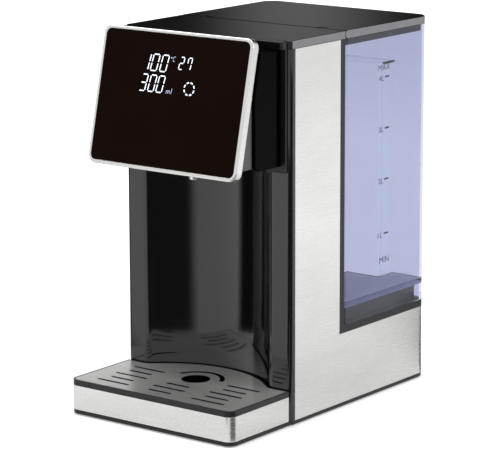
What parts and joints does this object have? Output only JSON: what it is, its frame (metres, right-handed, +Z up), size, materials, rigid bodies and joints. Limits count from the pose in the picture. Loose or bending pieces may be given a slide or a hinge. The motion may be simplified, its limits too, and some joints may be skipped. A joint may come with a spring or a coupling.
{
  "type": "instant hot water dispenser",
  "caption": "Tabletop instant hot water dispenser: steel-clad body, tilted touch display, concave column, pull-out drip tray and a clear lift-off rear tank with a hinged lid.",
  "frame": {"origin": "centre of the footprint, on the surface that the feet stand on", "axes": "+Z up, the display, spout and drip tray face -Y, the water tank is at +Y, +X is the user's right"},
  "size_m": [0.18, 0.294, 0.3385],
  "materials": {
    "brushed_steel": "brushed along the sheet",
    "gloss_black": "high gloss",
    "satin_black": "satin",
    "cover_grey": "satin",
    "cradle_grey": "satin",
    "shell_grey": "satin",
    "bright_frame": "bright plated",
    "dark_glass": "polished, black backed",
    "tank_blue": "clear, blue-grey tint",
    "foot_rubber": "matt",
    "white_plastic": "satin",
    "board_green": "solder mask",
    "silicone": "translucent",
    "zinc_steel": "zinc plated"
  },
  "bodies": {
    "machine": {"base_pan": "satin_black", "foot_front_left": "foot_rubber", "foot_front_right": "foot_rubber", "foot_rear_left": "foot_rubber", "foot_rear_right": "foot_rubber", "base_screw_front_left": "zinc_steel", "base_screw_front_right": "zinc_steel", "base_screw_rear_left": "zinc_steel", "base_screw_rear_right": "zinc_steel", "steel_wrap": "brushed_steel", "column_front": "gloss_black", "tank_cradle": "cradle_grey", "top_cover": "cover_grey", "head_shell": "gloss_black", "head_bracket": "satin_black", "display_frame": "bright_frame", "display_glass": "dark_glass", "display_board": "board_green", "display_rear_shell": "shell_grey", "outlet_chamber": "white_plastic", "spout": "bright_frame", "pump_housing": "satin_black", "pump_motor": "zinc_steel", "pump_mount": "foot_rubber", "flow_meter_body": "white_plastic", "flow_meter_cap": "satin_black", "heater_tube": "zinc_steel", "heater_cap_lower": "white_plastic", "heater_cap_upper": "white_plastic", "heater_clamp": "zinc_steel", "thermal_cutout": "satin_black", "power_board": "board_green", "board_spacer_lower_left": "white_plastic", "board_spacer_upper_left": "white_plastic", "board_spacer_lower_right": "white_plastic", "board_spacer_upper_right": "white_plastic", "hose_tank_to_meter": "silicone", "hose_meter_to_pump": "silicone", "hose_pump_to_heater": "silicone", "hose_heater_to_outlet": "silicone", "cord_gland": "foot_rubber"},
    "tank": {"water_tank": "tank_blue", "lid_pin_left": "zinc_steel", "lid_pin_right": "zinc_steel", "valve_body": "white_plastic", "outlet_strainer": "white_plastic", "valve_spring": "zinc_steel", "valve_seal": "foot_rubber"},
    "lid": {"tank_lid": "cover_grey"},
    "plunger": {"valve_plunger": "white_plastic"},
    "tray": {"drip_tray": "satin_black", "tray_band": "brushed_steel"},
    "plate": {"tray_plate": "brushed_steel"},
    "impeller": {"pump_impeller": "white_plastic"},
    "meter_rotor": {"flow_meter_rotor": "gloss_black"}
  },
  "joints": [
    {"name": "tank_lift", "type": "slide", "parent": "machine", "child": "tank", "axis": [0, 0, 1], "range_m": [0, 0.1]},
    {"name": "lid_hinge", "type": "hinge", "parent": "tank", "child": "lid", "pos_m": [0, 0.017, 0.3296], "axis": [1, 0, 0], "range_deg": [0, 95]},
    {"name": "valve_travel", "type": "slide", "parent": "tank", "child": "plunger", "axis": [0, 0, 1], "range_m": [0, 0.0015], "stiffness_N_per_m": 300, "springref_m": -0.003, "deforming": ["valve_spring"]},
    {"name": "tray_pull", "type": "slide", "parent": "machine", "child": "tray", "axis": [0, -1, 0], "range_m": [0, 0.085]},
    {"name": "plate_lift", "type": "slide", "parent": "tray", "child": "plate", "axis": [0, 0, 1], "range_m": [0, 0.03]},
    {"name": "impeller_spin", "type": "hinge", "parent": "machine", "child": "impeller", "pos_m": [0.045, 0.05, 0.03], "axis": [0, 1, 0], "continuous": true},
    {"name": "meter_spin", "type": "hinge", "parent": "machine", "child": "meter_rotor", "pos_m": [-0.05, 0.095, 0.03], "axis": [0, 0, 1], "continuous": true}
  ]
}
